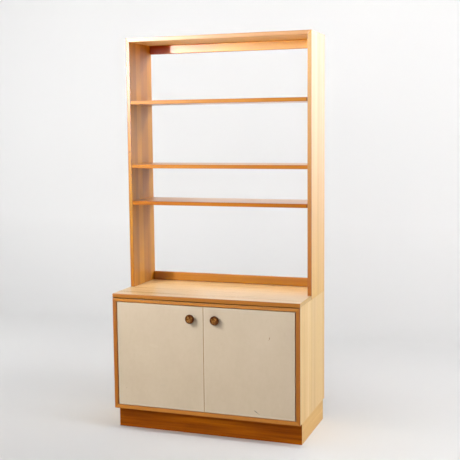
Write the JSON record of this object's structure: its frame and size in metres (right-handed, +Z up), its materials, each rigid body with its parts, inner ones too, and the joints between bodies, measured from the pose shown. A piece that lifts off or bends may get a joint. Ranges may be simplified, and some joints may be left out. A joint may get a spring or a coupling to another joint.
{
  "type": "bookcase with cabinet doors",
  "caption": "Open shelf frame standing on the back half of a low cabinet with a pair of hinged doors, round knobs and a recessed plinth.",
  "frame": {"origin": "on the floor, at the middle of the box round the whole object, knobs included", "axes": "+X to the right seen from the front, +Y to the back, +Z up"},
  "size_m": [0.9, 0.466, 1.827],
  "materials": {
    "veneer": "satin lacquered honey veneer",
    "worktop_wood": "satin lacquered honey veneer",
    "shelf_wood": "satin lacquered honey veneer",
    "plinth_wood": "satin stained wood",
    "door_paint": "satin cream paint on board",
    "knob_wood": "satin turned wood",
    "backboard": "matt thin board",
    "bare_wood": "unfinished wood",
    "brass": "dull brass",
    "steel": "plain steel",
    "catch_plastic": "brown plastic"
  },
  "bodies": {
    "cabinet": {"plinth_front": "plinth_wood", "plinth_back": "plinth_wood", "plinth_left": "plinth_wood", "plinth_right": "plinth_wood", "plinth_block_left": "bare_wood", "plinth_block_right": "bare_wood", "carcass_side_left": "veneer", "carcass_side_right": "veneer", "carcass_top": "veneer", "carcass_bottom": "veneer", "carcass_back": "backboard", "worktop": "worktop_wood", "inner_shelf": "shelf_wood", "frame_side_left": "veneer", "frame_side_right": "veneer", "frame_top": "veneer", "back_rail_top": "veneer", "back_rail_bottom": "veneer", "shelf_lower": "shelf_wood", "shelf_middle": "shelf_wood", "shelf_upper": "shelf_wood", "inner_shelf_pin_front_left": "steel", "inner_shelf_pin_back_left": "steel", "inner_shelf_pin_front_right": "steel", "inner_shelf_pin_back_right": "steel", "shelf_lower_pin_front_left": "steel", "shelf_lower_pin_back_left": "steel", "shelf_lower_pin_front_right": "steel", "shelf_lower_pin_back_right": "steel", "shelf_middle_pin_front_left": "steel", "shelf_middle_pin_back_left": "steel", "shelf_middle_pin_front_right": "steel", "shelf_middle_pin_back_right": "steel", "shelf_upper_pin_front_left": "steel", "shelf_upper_pin_back_left": "steel", "shelf_upper_pin_front_right": "steel", "shelf_upper_pin_back_right": "steel", "dowel_front_left": "bare_wood", "dowel_back_left": "bare_wood", "dowel_front_right": "bare_wood", "dowel_back_right": "bare_wood", "carcass_leaf_bottom_left": "brass", "carcass_leaf_top_left": "brass", "carcass_leaf_bottom_right": "brass", "carcass_leaf_top_right": "brass", "catch_left": "catch_plastic", "catch_right": "catch_plastic"},
    "door_left": {"door_left": "door_paint", "door_leaf_bottom_left": "brass", "door_leaf_top_left": "brass", "knob_left": "knob_wood", "knob_screw_left": "steel", "strike_left": "steel"},
    "door_right": {"door_right": "door_paint", "door_leaf_bottom_right": "brass", "door_leaf_top_right": "brass", "knob_right": "knob_wood", "knob_screw_right": "steel", "strike_right": "steel"}
  },
  "joints": [
    {"name": "door_left_hinge", "type": "hinge", "parent": "cabinet", "child": "door_left", "pos_m": [-0.4185, -0.203, 0.363], "axis": [0, 0, -1], "range_deg": [0, 110]},
    {"name": "door_right_hinge", "type": "hinge", "parent": "cabinet", "child": "door_right", "pos_m": [0.4185, -0.203, 0.363], "axis": [0, 0, 1], "range_deg": [0, 110]}
  ]
}
